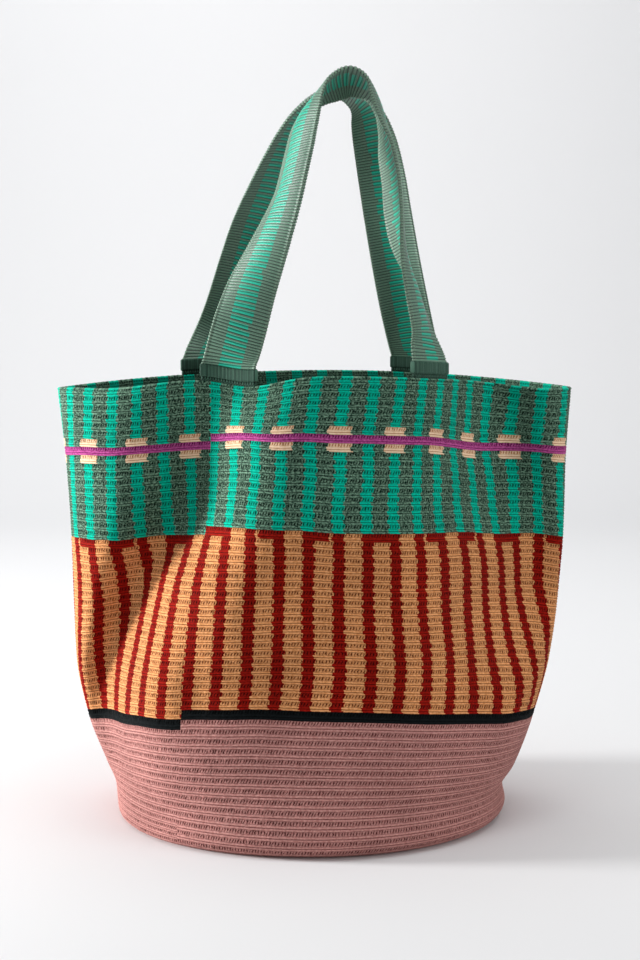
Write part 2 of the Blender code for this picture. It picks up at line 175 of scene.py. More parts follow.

# Painted shade: dark lines where shade falls in the gaps between the yarns, in shares of a round (or
# rib) and of a stitch leg, and the shine that is left once loose fibres have scattered most of it
crochetLook = {
    "roughness": 0.86, "gloss": 0.05, "sheen": 0.05,
    "rounds": ((0.28, 0.075, 0.85), (0.0, 0.07, 0.45), (0.56, 0.06, 0.45)),   # place, reach, strength
    # the leg band gets the slit lines, and bandShade paints the whole band darker, as shade where the
    # legs recede
    "legs": 2, "legReach": 0.30, "bandMiddle": 0.79, "bandReach": 0.30, "bandStrength": 1.3,
    "bandShade": 0.25,
    "depth": 0.45,            # mm
}
# painted shade: one dark line in the groove of each rib
webbingLook = {"roughness": 0.45, "gloss": 0.45, "sheen": 0.08,
               "rounds": ((0.0, 0.24, 0.95),), "legs": 0, "depth": 0.4}   # one line to a rib
# painted shade: a dark line in the groove between strokes, and between wraps of the seam
whippingLook = {"roughness": 0.7, "gloss": 0.2, "sheen": 0.1, "rounds": (), "legs": 1,
                "legReach": 0.34, "bandMiddle": 0.5, "bandReach": 0.9, "bandStrength": 1.3,
                "bandShade": 0.0, "depth": 0.35}


def thinLine(tree, along, middle, reach, strength):
    # one soft line in every whole step of the coordinate
    moved = addNode(tree, "ShaderNodeMath", {"operation": "ADD"}, {1: 0.5 - middle}, {0: along})
    part = addNode(tree, "ShaderNodeMath", {"operation": "FRACT"}, None, {0: moved.outputs[0]})
    centred = addNode(tree, "ShaderNodeMath", {"operation": "SUBTRACT"}, {1: 0.5}, {0: part.outputs[0]})
    away = addNode(tree, "ShaderNodeMath", {"operation": "ABSOLUTE"}, None, {0: centred.outputs[0]})
    line = addNode(tree, "ShaderNodeMapRange", {"interpolation_type": "SMOOTHSTEP"},
                   {"From Min": 0.0, "From Max": reach, "To Min": strength, "To Max": 0.0},
                   {"Value": away.outputs[0]})
    return line.outputs["Result"]


# painted shade: dark lines in the gaps between rounds, ridges and legs, and a darker leg band; the same
# lines also sink the bump relief
def paintedGapShade(tree, look):
    place = addNode(tree, "ShaderNodeAttribute", {"attribute_name": "stitchPlace"})
    split = addNode(tree, "ShaderNodeSeparateXYZ", None, None, {0: place.outputs["Vector"]})
    lines = [thinLine(tree, split.outputs["Y"], *row) for row in look["rounds"]]
    if look["legs"]:
        legs = addNode(tree, "ShaderNodeMath", {"operation": "MULTIPLY"}, {1: look["legs"]},
                       {0: split.outputs["X"]})
        paintedSlitShade = thinLine(tree, legs.outputs[0], 0.5, look["legReach"], 1.0)
        band = thinLine(tree, split.outputs["Y"], look["bandMiddle"], look["bandReach"],
                        look["bandStrength"])
        both = addNode(tree, "ShaderNodeMath", {"operation": "MULTIPLY", "use_clamp": True}, None,
                       {0: paintedSlitShade, 1: band})
        lines.append(both.outputs[0])
        lines.append(thinLine(tree, split.outputs["Y"], look["bandMiddle"], look["bandReach"],
                              look["bandShade"]))
    total = lines[0]
    for line in lines[1:]:
        total = addNode(tree, "ShaderNodeMath", {"operation": "MAXIMUM"}, None,
                        {0: total, 1: line}).outputs[0]
    return total


def cottonYarn(name, yarn, look):
    material = bpy.data.materials.new(name)
    material.use_nodes = True
    tree = material.node_tree
    shader = tree.nodes["Principled BSDF"]
    place = addNode(tree, "ShaderNodeTexCoord").outputs["Object"]
    stitches = addNode(tree, "ShaderNodeAttribute", {"attribute_name": "stitchPlace"})
    along = addNode(tree, "ShaderNodeVectorMath", {"operation": "MULTIPLY"},
                    {1: cotton["fleckCounts"]}, {0: stitches.outputs["Vector"]})
    flecks = addNode(tree, "ShaderNodeTexNoise", None,
                     {"Scale": 1.0, "Detail": 2.0, "Roughness": 0.7}, {"Vector": along.outputs[0]})
    half = yarn["fleck"] / 2
    spread = addNode(tree, "ShaderNodeMapRange", None,
                     {"From Min": cotton["fleckRange"][0], "From Max": cotton["fleckRange"][1],
                      "To Min": 0.5 - half, "To Max": 0.5 + half},
                     {"Value": flecks.outputs["Fac"]})
    body = addNode(tree, "ShaderNodeMix", {"data_type": "RGBA"},
                   {"A": linear(yarn["dark"]), "B": linear(yarn["light"])},
                   {"Factor": spread.outputs["Result"]})
    tone = addNode(tree, "ShaderNodeTexNoise", None,
                   {"Scale": 1 / (cotton["toneSize"] * mm), "Detail": 1.0}, {"Vector": place})
    shift = addNode(tree, "ShaderNodeMapRange", None,
                    {"From Min": cotton["toneRange"][0], "From Max": cotton["toneRange"][1],
                     "To Min": 1 - cotton["toneChange"], "To Max": 1 + cotton["toneChange"]},
                    {"Value": tone.outputs["Fac"]})
    toned = addNode(tree, "ShaderNodeVectorMath", {"operation": "SCALE"}, None,
                    {0: body.outputs["Result"], "Scale": shift.outputs["Result"]})
    # painted shade: the colour turns towards the slit colour where the yarn lies deep and along the gap
    # lines
    depth = addNode(tree, "ShaderNodeAttribute", {"attribute_name": "paintedShadeDepth"})
    sunk = addNode(tree, "ShaderNodeMapRange", None,
                   {"From Min": cotton["sunkFrom"], "From Max": 1.0,
                    "To Min": 0.0, "To Max": cotton["sunkShade"]},
                   {"Value": depth.outputs["Fac"]})
    gap = paintedGapShade(tree, look)
    dark = addNode(tree, "ShaderNodeMath", {"operation": "ADD", "use_clamp": True}, None,
                   {0: sunk.outputs["Result"], 1: gap})
    coloured = addNode(tree, "ShaderNodeMix", {"data_type": "RGBA"},
                       {"B": linear(yarn["paintedSlitShade"])},
                       {"Factor": dark.outputs[0], "A": toned.outputs["Vector"]})
    fibres = addNode(tree, "ShaderNodeTexNoise", None,
                     {"Scale": 1 / (cotton["fibreSize"] * mm), "Detail": 2.0, "Roughness": 0.6},
                     {"Vector": place})
    fluff = addNode(tree, "ShaderNodeMath", {"operation": "MULTIPLY"},
                    {1: cotton["fibreHeight"] / look["depth"]}, {0: fibres.outputs["Fac"]})
    relief = addNode(tree, "ShaderNodeMath", {"operation": "SUBTRACT"}, None,
                     {0: fluff.outputs[0], 1: gap})
    bump = addNode(tree, "ShaderNodeBump", None,
                   {"Strength": cotton["reliefStrength"], "Distance": look["depth"] * mm},
                   {"Height": relief.outputs[0]})
    tree.links.new(coloured.outputs["Result"], shader.inputs["Base Color"])
    tree.links.new(bump.outputs["Normal"], shader.inputs["Normal"])
    shader.inputs["Roughness"].default_value = look["roughness"]
    shader.inputs["IOR"].default_value = cotton["ior"]
    shader.inputs["Specular IOR Level"].default_value = look["gloss"]
    shader.inputs["Sheen Weight"].default_value = look["sheen"]
    shader.inputs["Sheen Roughness"].default_value = cotton["sheenRoughness"]
    return material


yarnOrder = list(yarns)
yarnMaterials = [cottonYarn(name + "CottonYarn", yarns[name], crochetLook) for name in yarnOrder]
yarnIndex = {name: k for k, name in enumerate(yarnOrder)}


def gridPiece(name, points, colours, depth, place, materials, node, closed=False, flipped=False):
    rowCount, columnCount = points.shape[:2]
    index = np.arange(rowCount * columnCount).reshape(rowCount, columnCount)
    if closed:
        index = np.hstack((index, index[:, :1]))
    corners = np.stack((index[:-1, :-1], index[:-1, 1:], index[1:, 1:], index[1:, :-1]), axis=-1)
    if flipped:
        corners = corners[..., ::-1]
    corners = corners.reshape(-1, 4)
    mesh = bpy.data.meshes.new(name)
    mesh.vertices.add(rowCount * columnCount)
    mesh.vertices.foreach_set("co", (points * mm).astype(np.float32).ravel())
    mesh.loops.add(corners.size)
    mesh.loops.foreach_set("vertex_index", corners.astype(np.int32).ravel())
    mesh.polygons.add(len(corners))
    mesh.polygons.foreach_set("loop_start", np.arange(0, corners.size, 4, dtype=np.int32))
    mesh.polygons.foreach_set("material_index", colours.astype(np.int32).ravel())
    mesh.update(calc_edges=True)
    # how deep each point lies, which the yarn material paints as shade
    sunk = mesh.attributes.new("paintedShadeDepth", "FLOAT", "POINT")
    sunk.data.foreach_set("value", depth.astype(np.float32).ravel())
    stitchPlace = np.zeros((rowCount, columnCount, 3), dtype=np.float32)
    stitchPlace[..., 0], stitchPlace[..., 1] = np.broadcast_arrays(*place)
    stitches = mesh.attributes.new("stitchPlace", "FLOAT_VECTOR", "POINT")
    stitches.data.foreach_set("vector", stitchPlace.ravel())
    for material in materials:
        mesh.materials.append(material)
    if closed:
        closeEnds(mesh)
    mesh.shade_smooth()
    piece = bpy.data.objects.new(name, mesh)
    bpy.context.scene.collection.objects.link(piece)
    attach(piece, "root")
    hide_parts(node)
    return piece


def closeEnds(mesh):
    work = bmesh.new()
    work.from_mesh(mesh)
    edges = [edge for edge in work.edges if edge.is_boundary]
    bmesh.ops.holes_fill(work, edges=edges, sides=0)
    bmesh.ops.recalc_face_normals(work, faces=work.faces)
    work.to_mesh(mesh)
    work.free()


# The crocheted body, in mm unless a note says otherwise
bag = {
    "baseRadius": 163.0, "thickness": 4.6, "floorThickness": 5.0, "rimRoll": 1.6,
    "edgeRadius": 15.0, "edgeRadiusLeft": 6.0,
    "plan": (("pink", 14, 7.235), ("black", 1, 7.6), ("orange", 20, 6.68), ("bars", 1, 6.68),
             ("green", 9, 6.68), ("cream", 1, 6.68), ("purple", 1, 6.68), ("cream", 1, 6.68),
             ("green", 6, 6.68)),
    "stitches": 220, "stitchesPerPeriod": 5, "stripeStitches": 2, "blockStitches": 4,
    "columnsPerStitch": 4,
    "loopShift": 1.0,         # columns that the top loops of a stitch sit to the left of its legs
    "loopMiddle": 0.28, "loopReach": 0.42,    # shares of a round
    "spiralLead": 0.25,       # rounds above the level line at the step
    "spiralStart": 30.0, "spiralEnd": 40.0,   # mm over which the spiral begins and dies out
    "yarnUnevenness": 0.09,   # mm
    "levels": 240, "angles": 1440,
    "cornerSetBack": 20.0, "dipReach": 45.0,
    "sideBlend": 2.5,         # how quickly the left half width turns into the right one
    "softFoldFade": 4.0,      # how quickly the soft folds die out towards the sides
}

# Stations up the front of the wall: height, drop at the sides, half width left and right,
# half depth in front and behind, and how far the oval is pinched to a lens
stations = (
    (0, 0, 165, 163, 160, 161, 0), (12, 1, 166.5, 162, 160.5, 161.5, 0),
    (30, 5, 168, 159.5, 157.5, 159, 0), (55, 12, 176, 170.5, 152, 155, 0),
    (105, 20, 192, 187, 145, 149, 0.05), (150, 20, 200.5, 200, 138, 143, 0.12),
    (200, 19, 202.5, 208, 130, 136, 0.2), (250, 17, 204, 212, 122, 129, 0.3),
    (310, 15, 208, 213.5, 114, 121, 0.42), (369, 12, 214.5, 218, 106, 112, 0.5),
)

# Folds running up the wall: height, degrees round from the right side, depth, half spread
folds = (
    ((20, -160, 4, 14), (105, -153, 30, 13.5), (160, -143, 40, 12.5), (210, -134, 44, 12),
     (265, -120, 44, 13.5), (320, -115, 32, 13.5), (369, -108, 24, 13.5)),
    ((60, -52, 2, 18), (110, -50, 12, 20), (160, -38, 34, 22), (210, -34, 52, 22),
     (265, -42, 54, 21), (320, -46, 60, 17.5), (369, -48, 60, 15)),
    ((90, 118, 0, 20), (180, 112, -18, 20), (280, 106, -30, 20), (369, 104, -26, 20)),
    ((60, 60, 0, 17), (160, 56, 6, 17), (260, 52, 10, 17), (369, 50, 4, 17)),
)
# Softer folds on the front only: height, then (sideways, how far back), both in mm
softFolds = (
    (20, ((-214, 0), (214, 0))),
    (70, ((-214, 0), (-165, 2), (-110, -1), (-19, 6), (84, -2), (214, 0))),
    (130, ((-214, 0), (-180, 6), (-124, -4), (-86, 4), (-19, 11), (84, -3), (214, 0))),
    (190, ((-214, 0), (-180, 1), (-125, 6), (-62, -3), (-12, 6), (70, -2), (124, 3), (168, -3),
           (214, 0))),
    (235, ((-214, 0), (-192, -3), (-100, 8), (-46, -4), (22, 5), (90, 0), (124, 3), (168, -3),
           (214, 0))),
    (300, ((-214, 0), (-197, -4), (-104, 13), (-46, -4), (33, 7), (90, 0), (124, 3), (168, -3),
           (214, 0))),
    (345, ((-214, 0), (-197, -4), (-104, 11), (-46, -3), (33, 5), (90, 0), (124, 2), (168, -2),
           (214, 0))),
    (369, ((-214, 0), (-197, -1), (-104, 4), (-46, -1), (33, 2), (124, 1), (168, -1), (214, 0))),
)
rimDips = ((-103.5, 8.5, 8.0), (-137.0, 17.0, 4.0), (-35.0, 20.0, 4.0))   # degrees, spread, drop
roundStep = ((0, -108), (105, -104), (205, -96), (260, -85.5), (369, -82))  # height, sideways

roundTable = []
wallTop = 0.0
for roundName, roundCount, roundPitch in bag["plan"]:
    for k in range(roundCount):
        roundTable.append((roundName, wallTop, roundPitch))
        wallTop += roundPitch
columnCount = bag["stitches"] * bag["columnsPerStitch"]


def smoothThrough(rows, column, at):
    # a smooth curve through the rows that never swings past them
    keys = np.array([row[0] for row in rows], dtype=float)
    values = np.array([row[column] for row in rows], dtype=float)
    at = min(max(at, keys[0]), keys[-1])
    k = min(int(np.searchsorted(keys, at, side="right")) - 1, len(keys) - 2)
    steps = np.diff(keys)
    rises = np.diff(values) / steps
    slopes = np.concatenate((rises[:1], np.zeros(len(keys) - 2), rises[-1:]))
    for i in range(1, len(keys) - 1):
        if rises[i - 1] * rises[i] > 0:
            slopes[i] = 2 * rises[i - 1] * rises[i] / (rises[i - 1] + rises[i])
    t = (at - keys[k]) / steps[k]
    return (values[k] * (1 + 2 * t) * (1 - t) ** 2 + slopes[k] * steps[k] * t * (1 - t) ** 2
            + values[k + 1] * t * t * (3 - 2 * t) + slopes[k + 1] * steps[k] * t * t * (t - 1))


def easeIn(value):
    value = np.clip(value, 0, 1)
    return value * value * (3 - 2 * value)


def eased(row, at):
    # from each (place, value) to the next, level at both
    keys, values = np.array(row, dtype=float).T
    k = np.clip(np.searchsorted(keys, at, side="right") - 1, 0, len(keys) - 2)
    return values[k] + (values[k + 1] - values[k]) * easeIn((at - keys[k]) / (keys[k + 1] - keys[k]))


def tableAt(rows, height, at):
    # read a table of (height, ((place, value), ...)) smoothly both ways; the first and last rows
    # hold on past the ends
    height, at = np.broadcast_arrays(height, at)
    keys = [row[0] for row in rows]
    total = np.zeros(at.shape)
    for k, (key, row) in enumerate(rows):
        before = keys[k - 1] if k else key - 1
        after = keys[k + 1] if k + 1 < len(keys) else key + 1000
        weight = np.minimum(easeIn((height - before) / (key - before)),
                            1 - easeIn((height - key) / (after - key)))
        total = total + weight * eased(row, at)
    return total


def wallOutline(height):
    # one point for every angle: sideways, back, the way out, the drop, the angle, and how far
    # back without the soft folds
    angles = np.linspace(-math.pi, math.pi, bag["angles"], endpoint=False)
    share = height / wallTop
    level = share * stations[-1][0]
    left, right, front, back = (smoothThrough(stations, column, level) for column in (2, 3, 4, 5))
    pinch = smoothThrough(stations, 6, level)
    across, along = np.cos(angles), np.sin(angles)
    x = (left + (right - left) * (0.5 + 0.5 * np.tanh(across * bag["sideBlend"]))) * across
    y = np.where(along < 0, front, back) * along * ((1 - pinch) + pinch * np.abs(along))
    y = y + bag["cornerSetBack"] * share * (0.5 + 0.5 * across) ** 2
    for fold in folds:
        centre, depth, spread = (smoothThrough(fold, column, level) for column in (1, 2, 3))
        away = (angles - math.radians(centre) + math.pi) % (2 * math.pi) - math.pi
        y = y + depth * min(1.0, level / fold[0][0]) * np.exp(-((away / math.radians(spread)) ** 2))
    firmY = y
    onFront = easeIn(-bag["softFoldFade"] * along)
    y = y + np.where(along < 0, tableAt(softFolds, level, x), 0) * onFront
    drops = smoothThrough(stations, 1, level) * across ** 2
    below = (wallTop - height) / bag["dipReach"]
    for centre, spread, depth in rimDips:
        drops = drops + (depth * np.exp(-(((np.degrees(angles) - centre) / spread) ** 2))
                         * math.exp(-below * below))
    tangentX = np.roll(x, -1) - np.roll(x, 1)
    tangentY = np.roll(y, -1) - np.roll(y, 1)
    size = np.hypot(tangentX, tangentY)
    return np.column_stack((x, y, tangentY / size, -tangentX / size, drops, angles, firmY))


def measuredOutline(height):
    # the outline in even steps along the cloth, from the step in the rounds; the soft folds
    # stretch the cloth a little and leave the stitches in place
    table = wallOutline(height)
    table = np.vstack((table, table[:1]))
    way = np.concatenate(([0.0], np.cumsum(np.hypot(*np.diff(table[:, [0, 6]], axis=0).T))))
    stepX = smoothThrough(roundStep, 1, height / wallTop * roundStep[-1][0])
    front = np.where(table[:-1, 5] < 0)[0]
    start = np.interp(stepX, table[front, 0], way[front])
    places = (start + np.linspace(0, 1, columnCount + 1) * way[-1]) % way[-1]
    return np.column_stack([np.interp(places, way, table[:, k]) for k in range(6)])


wallTable = np.array([measuredOutline(h) for h in np.linspace(0, wallTop, bag["levels"])])
print("wall shape worked out:", wallTable.shape)


def onWall(height, share, inset=0.0, lift=0.0):
    height, share, inset, lift = np.broadcast_arrays(height, share, inset, lift)
    row = np.clip(height / wallTop * (bag["levels"] - 1), 0, bag["levels"] - 1.0001)
    low = row.astype(int)
    up = (row - low)[..., None]
    column = (share % 1.0) * columnCount
    left = np.minimum(column.astype(int), columnCount - 1)
    on = (column - left)[..., None]
    below = wallTable[low, left] * (1 - on) + wallTable[low, left + 1] * on
    above = wallTable[low + 1, left] * (1 - on) + wallTable[low + 1, left + 1] * on
    values = below * (1 - up) + above * up
    # the base edge is rounder at the right than at the left
    leftward = easeIn(-values[..., 0] / bag["baseRadius"])
    radius = bag["edgeRadius"] + (bag["edgeRadiusLeft"] - bag["edgeRadius"]) * leftward
    rounding = np.clip(radius - height, 0, radius)
    curl = radius - np.sqrt(radius ** 2 - rounding ** 2)
    inward = inset + curl
    return np.stack((values[..., 0] - values[..., 2] * inward,
                     values[..., 1] - values[..., 3] * inward,
                     height - values[..., 4] + lift), axis=-1)


# Where the rounds ride higher up the cloth: height, then (share of the way round, mm)
roundLifts = (
    (20, ((-0.5, 0), (0.5, 0))),
    (105, ((-0.5, 0), (-0.12, 2), (-0.08, 2.5), (-0.04, 5), (0, 4), (0.05, 3), (0.1, 1),
           (0.15, 1.5), (0.21, 0), (0.26, 0), (0.29, 1.5), (0.5, 0))),
    (175, ((-0.5, 0), (0.5, 0))),
    (250, ((-0.5, 0), (-0.13, 5), (-0.1, 3), (-0.08, 0.5), (-0.03, -1), (0, 0.5), (0.04, 1.5),
           (0.08, 0), (0.12, -3), (0.22, -2), (0.28, -4), (0.33, -1), (0.5, 0))),
    (320, ((-0.5, 0), (-0.12, 4), (-0.08, 2), (-0.02, 0.5), (0, 1), (0.04, 4.5), (0.08, 2),
           (0.12, 0), (0.19, 0), (0.27, -4.5), (0.33, 0), (0.5, 0))),
    (365, ((-0.5, 0), (0.5, 0))),
)


def spiralHeight(height, pitch, share):
    grown = easeIn(height / bag["spiralStart"]) * easeIn((wallTop - height) / bag["spiralEnd"])
    lift = tableAt(roundLifts, height, np.where(share > 0.5, share - 1, share))
    return height + grown * pitch * (bag["spiralLead"] - share) + lift


# One round, bottom to top: share of its height, sideways lean in stitches, and the depth in
# mm of the four columns of a stitch. Two smooth ridges, then a band of upright legs.
stitchProfile = (
    (0.00, 0.07, (0.60, 0.85, 0.60, 0.85)),
    (0.14, 0.02, (0.00, 0.12, 0.05, 0.18)),
    (0.28, 0.00, (0.50, 0.58, 0.50, 0.60)),
    (0.42, -0.02, (0.03, 0.15, 0.00, 0.18)),
    (0.56, -0.07, (0.55, 0.85, 0.55, 0.85)),
    (0.79, 0.00, (0.05, 1.02, 0.05, 1.02)),
)
deepest = 1.06
strandUnevenness = 0.2     # how much one leg or ridge stitch differs from the next
strandRange = (0.3, 1.15)
stepDepth = 0.4            # mm, the same on both sides of the step so that they meet
edgeWander = 0.07          # stitches

# Where the columns of stitches slip sideways as the cloth sags: height, then (share of the
# way round from the step, mm of slip to the right)
clothSlips = (
    (60, ((-0.5, 0), (0.5, 0))),
    (125, ((-0.5, 0), (-0.13, 0), (-0.09, -5), (-0.05, 0), (0.1, 0), (0.15, 2), (0.2, 4),
           (0.28, 7), (0.31, 3), (0.33, -2), (0.5, 0))),
    (207, ((-0.5, 0), (-0.13, 2), (-0.05, -2), (0, 0), (0.05, -2), (0.1, -5), (0.2, -8),
           (0.25, -2), (0.28, 2), (0.32, 0), (0.5, 0))),
    (282, ((-0.5, 0), (-0.13, 2), (-0.09, 6), (-0.05, 5), (0, 0), (0.1, -1), (0.2, -4),
           (0.25, 0), (0.3, 0), (0.34, -6), (0.5, 0))),
    (331, ((-0.5, 0), (-0.12, 3), (-0.08, 7), (-0.03, 3), (0, 0), (0.03, -6), (0.1, -8),
           (0.2, -9), (0.3, -8), (0.36, -6), (0.5, 0))),
    (370, ((-0.5, 0), (-0.12, 3), (-0.08, 7), (-0.03, 3), (0, 0), (0.03, -6), (0.1, -9),
           (0.2, -10), (0.3, -9), (0.36, -6), (0.5, 0))),
)


def slipped(height, share):
    # the share of the way round where a column lies once the cloth has slipped
    signed = np.where(np.greater(share, 0.5), share - 1.0, share)
    around = np.hypot(*np.diff(wallTable[-1][:, :2], axis=0).T).sum()
    return share + tableAt(clothSlips, height, signed) / around


def roundColours(name, column):
    stitch = column // bag["columnsPerStitch"]
    period = bag["stitchesPerPeriod"]
    onStripe = stitch % period < bag["stripeStitches"]
    if name in ("pink", "black", "purple"):
        return np.full(column.shape, yarnIndex[name])
    if name == "orange":
        return np.where(onStripe, yarnIndex["red"], yarnIndex["orange"])
    if name == "bars":
        place = column % (2 * period * bag["columnsPerStitch"])
        kind = stitch // (2 * period) % 3
        leg = bag["columnsPerStitch"] // 2
        barEnd = (period + bag["stripeStitches"]) * bag["columnsPerStitch"]
        afterStripe = bag["stripeStitches"] * bag["columnsPerStitch"]
        beforeStripe = period * bag["columnsPerStitch"]
        gapLeft = (kind == 1) & (place >= afterStripe) & (place < afterStripe + leg)
        gapRight = (kind == 2) & (place >= beforeStripe - leg) & (place < beforeStripe)
        red = (place < barEnd) & ~gapLeft & ~gapRight
        return np.where(red, yarnIndex["red"], yarnIndex["orange"])
    ground = np.where(onStripe, yarnIndex["teal"], yarnIndex["greyGreen"])
    if name == "cream":
        blockStart = period - (bag["blockStitches"] - bag["stripeStitches"]) // 2
        inBlock = (stitch - blockStart) % (2 * period) < bag["blockStitches"]
        return np.where(inBlock, yarnIndex["cream"], ground)
    return ground


def loopShift(rise):
    # top loops that sit to the left give the stripes toothed edges
    share = max(0.0, 1 - abs(rise - bag["loopMiddle"]) / bag["loopReach"])
    return int(round(bag["loopShift"] * share))


def unevenDepths(depths):
    # no two strands of handwork lie quite alike
    strands = chance.normal(1, strandUnevenness, (depths.shape[0], bag["stitches"] * 2 + 1))
    strands = np.repeat(strands, bag["columnsPerStitch"] // 2, axis=1)[:, :columnCount + 1]
    depths = depths * np.clip(strands, *strandRange)
    depths = np.clip(depths + chance.normal(0, bag["yarnUnevenness"], depths.shape), 0, deepest)
    depths[:, [0, -1]] = stepDepth
    return depths


def wallBand(name, first, last):
    heights, leans, depths, colours, rises = [], [], [], [], []
    shares = np.arange(columnCount + 1) / columnCount
    columns = np.arange(columnCount)
    for k in range(first, last):
        roundName, low, pitch = roundTable[k]
        for rise, lean, reliefs in stitchProfile:
            heights.append(spiralHeight(low + rise * pitch, pitch, shares))
            leans.append(lean)
            rises.append(k + rise)
            depths.append(np.resize(reliefs, columnCount + 1))
            colours.append(roundColours(roundName, columns + loopShift(rise)))
    if last < len(roundTable):
        heights.append(spiralHeight(roundTable[last][1], roundTable[last][2], shares))
    else:
        heights.append(np.full(columnCount + 1, wallTop - bag["rimRoll"]))
    leans.append(stitchProfile[0][1] if last < len(roundTable) else 0.0)
    rises.append(last)
    depths.append(np.resize(stitchProfile[0][2], columnCount + 1))
    heights = np.minimum(np.array(heights), wallTop - bag["rimRoll"])
    depths = unevenDepths(np.array(depths))
    if last == len(roundTable):
        depths[-1] = 0.0
    leans = np.array(leans)[:, None] + chance.normal(0, edgeWander, (len(leans), columnCount + 1))
    leans = leans / bag["stitches"]
    leans[:, [0, -1]] = 0.0
    points = onWall(heights, slipped(heights, shares) + leans, inset=depths)
    place = (shares * bag["stitches"], np.array(rises, dtype=float)[:, None])
    piece = gridPiece(name, points, np.array(colours), depths / deepest, place, yarnMaterials,
                      "crochet_body")


def makeWall():
    wallBand("pink_rounds", 0, 14)
    wallBand("orange_rounds_lower", 14, 25)
    wallBand("orange_rounds_upper", 25, 36)
    wallBand("green_rounds_lower", 36, 45)
    wallBand("green_rounds_upper", 45, 54)


makeWall()
print("outer wall done")


# Slip stitches over the edge: mm, shape over the four columns of a stitch, the swell at which the
# painted shade is full, and the place in the round of a ridge crest, which has no painted dark line
rimChain = {"steps": 8, "height": 0.28, "shape": (0.0, 0.35, 1.0, 0.35), "darkAt": 0.4, "crest": 0.14}


def makeRim():
    turns = np.linspace(0, math.pi, rimChain["steps"])[:, None]
    shares = np.arange(columnCount + 1)[None, :] / columnCount
    chain = rimChain["height"] * np.resize(rimChain["shape"], columnCount + 1)
    swell = chain[None, :] * np.sin(turns)
    inset = bag["thickness"] / 2 * (1 - np.cos(turns)) + shares * 0
    lift = (bag["rimRoll"] - swell) * np.sin(turns)
    around = slipped(wallTop + shares * 0, shares)
    points = onWall(wallTop + shares * 0, around, inset=inset, lift=lift - bag["rimRoll"])
    colours = np.tile(roundColours("green", np.arange(columnCount)), (rimChain["steps"] - 1, 1))
    # painted shade where the chain sinks between its stitches
    depth = swell / rimChain["darkAt"]
    place = (shares * bag["stitches"], rimChain["crest"])
    piece = gridPiece("rim_edge", points, colours, depth, place, yarnMaterials, "crochet_body")


# The reverse of the same crochet, ridged once a round
inside = {"columnStep": 2, "ridgeDepth": 0.55, "strandDepth": 0.2}


def makeInside():
    shares = np.arange(0, columnCount + 1, inside["columnStep"]) / columnCount
    columns = np.arange(0, columnCount, inside["columnStep"])
    strands = np.resize((0.0, inside["strandDepth"]), shares.shape)
    heights, depths, colours, rises = [], [], [], []
    for k, (roundName, low, pitch) in enumerate(roundTable):
        for rise, relief in ((0.0, inside["ridgeDepth"]), (0.5, 0.0)):
            rises.append(k + rise)
            heights.append(spiralHeight(low + rise * pitch, pitch, shares))
            depths.append(relief + strands)
            colours.append(roundColours(roundName, columns))
    heights.append(np.full(shares.shape, wallTop - bag["rimRoll"]))
    rises.append(len(roundTable))
    depths.append(np.zeros(shares.shape))
    heights = np.clip(np.array(heights), bag["floorThickness"], wallTop - bag["rimRoll"])
    depths = np.array(depths)
    points = onWall(heights, slipped(heights, shares), inset=bag["thickness"] - depths)
    place = (shares * bag["stitches"], np.array(rises, dtype=float)[:, None])
    piece = gridPiece("inside_wall", points, np.array(colours), depths, place, yarnMaterials,
                      "crochet_body", flipped=True)


# The flat base is worked in rings out from its middle
base = {"rings": 23, "ridges": (0.8, 0.0, 0.15), "strandDepth": 0.25, "underside": 0.001}   # mm


def makeBase(name, height, inset, up):
    steps = base["rings"] * len(base["ridges"])
    shares = np.arange(bag["stitches"] + 1) / bag["stitches"]
    edge = onWall(np.full(shares.shape, height if up else base["underside"]), shares, inset=inset)
    centre = edge[:-1, :2].mean(axis=0)
    points, depths = [], []
    for k in range(steps + 1):
        relief = base["ridges"][k % len(base["ridges"])]
        share = 1 - k / steps
        ring = np.empty((len(shares), 3))
        ring[:, :2] = centre + (edge[:, :2] - centre) * share
        uneven = base["strandDepth"] * (np.arange(len(shares)) % 2)
        depth = np.clip(relief + uneven, 0, None) * min(1.0, k)
        ring[:, 2] = height - depth if up else height + depth
        points.append(ring)
        depths.append(depth)
    colours = np.full((steps, len(shares) - 1), yarnIndex["pink"])
    place = (shares * bag["stitches"], np.arange(steps + 1)[:, None] / len(base["ridges"]))
    piece = gridPiece(name, np.array(points), colours, np.array(depths), place, yarnMaterials,
                      "crochet_body", flipped=not up)


makeRim()
makeInside()
makeBase("inside_floor", bag["floorThickness"], bag["thickness"], True)
makeBase("underside", 0.0, 0.0, False)
print("rim, inside and base done")


# Straps: weft-faced cotton webbing, so fine ribs run across it
strap = {
    "width": 44.0, "thickness": 3.0, "bow": 5.0, "bowReach": 70.0, "footReach": 30.0,
    "uprightReach": 14.0,     # the strap leaves its binding straight up
    "ribPitch": 2.45, "ribDepth": 0.62, "strandPitch": 1.1,
    "unevenness": 0.05, "edgeNotch": 0.9,
    "tealFrom": 0.29, "tealTo": 0.71, "stagger": 0.014, "selvedge": 0.05,    # shares of the width
    "gap": 0.3,
    "bite": 0.8,              # how far the stitching bites into what it holds
    "ends": {"front": (-68.0, 96.0), "back": (-94.0, 91.0)},
    "footSamples": 45, "curveSteps": 24,
    "ribSteps": 3, "tealSteps": 4,    # steps along a rib, and how many of a pair of ribs are teal
}
# Yarn whipped round the strap's end, one stroke beside the other
binding = {
    "height": 8.0, "thickness": 6.0, "overhang": 1.0, "bevel": 1.6, "bevelSteps": 4,
    "strokePitch": 1.15, "strokeDepth": 0.35, "endDepth": 0.9, "unevenness": 0.05,
    "strokeShade": 0.55,
    "yarn": {"light": "#567F6C", "dark": "#2B4C3D", "paintedSlitShade": "#0C1F17", "fleck": 0.9},
}
